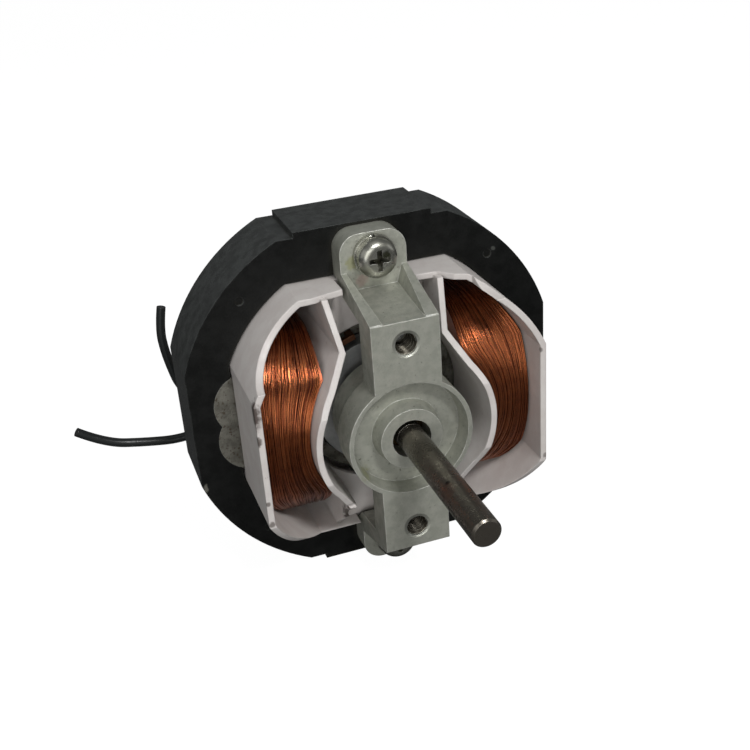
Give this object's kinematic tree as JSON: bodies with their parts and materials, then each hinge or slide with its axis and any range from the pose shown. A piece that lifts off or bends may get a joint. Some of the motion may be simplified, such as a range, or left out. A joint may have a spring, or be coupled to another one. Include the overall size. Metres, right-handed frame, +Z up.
{
  "type": "shaded pole motor",
  "caption": "Open-frame shaded pole motor: black laminated yoke, two copper coils on white bobbins, die-cast end brackets with tapped holes and a long plain shaft.",
  "frame": {"origin": "on the shaft axis, in the plane of the two tapped mounting faces of the front bracket", "axes": "+Y along the shaft from its free end towards the motor, +Z up from the bottom pad of the yoke to the top pad, +X to the right seen from the shaft end"},
  "size_m": [0.0897, 0.0859, 0.068],
  "materials": {
    "yoke_black": "matt black paint over stacked steel sheets, worn to dark grey at the rim",
    "core_steel": "bare stamped steel sheets, dull grey",
    "shading_copper": "bare copper strip, dull",
    "bobbin_nylon": "white moulded nylon, slightly pinkish grey, scorched specks at the edges",
    "winding_enamel": "fine copper wire under brown-red enamel",
    "rotor_steel": "stacked steel sheets, turned outside",
    "cage_aluminium": "cast aluminium, dull",
    "shaft_steel": "ground steel, dark with handling marks",
    "collar_plastic": "dark moulded plastic",
    "thrust_fibre": "brown pressed fibre",
    "bracket_casting": "die-cast light alloy, matt grey with polished edges",
    "bush_bronze": "oil-soaked sintered bronze",
    "oil_felt": "oil-soaked wool felt",
    "clip_steel": "spring steel sheet",
    "screw_zinc": "zinc plated steel, slightly tarnished",
    "sleeve_black": "black sleeving",
    "lead_black": "black insulated lead, satin"
  },
  "bodies": {
    "stator": {"stator_yoke": "yoke_black", "stator_core": "core_steel", "shading_ring_left_wide": "shading_copper", "shading_ring_left_narrow": "shading_copper", "shading_ring_right_wide": "shading_copper", "shading_ring_right_narrow": "shading_copper", "bobbin_left": "bobbin_nylon", "bobbin_right": "bobbin_nylon", "winding_left": "winding_enamel", "winding_right": "winding_enamel", "front_bracket": "bracket_casting", "rear_bracket": "bracket_casting", "front_bush": "bush_bronze", "rear_bush": "bush_bronze", "front_felt": "oil_felt", "rear_felt": "oil_felt", "front_clip": "clip_steel", "rear_clip": "clip_steel", "screw_top": "screw_zinc", "screw_bottom": "screw_zinc", "spring_washer_top": "screw_zinc", "spring_washer_bottom": "screw_zinc", "splice_sleeve_upper": "sleeve_black", "splice_sleeve_lower": "sleeve_black", "lead_upper": "lead_black", "lead_lower": "lead_black"},
    "rotor": {"shaft": "shaft_steel", "rotor_core": "rotor_steel", "rotor_cage": "cage_aluminium", "front_collar": "collar_plastic", "rear_collar": "collar_plastic", "front_thrust_washer": "thrust_fibre", "rear_thrust_washer": "thrust_fibre"}
  },
  "joints": [
    {"name": "rotor_spin", "type": "hinge", "parent": "stator", "child": "rotor", "pos_m": [0, 0.026, 0], "axis": [0, -1, 0], "continuous": true}
  ]
}
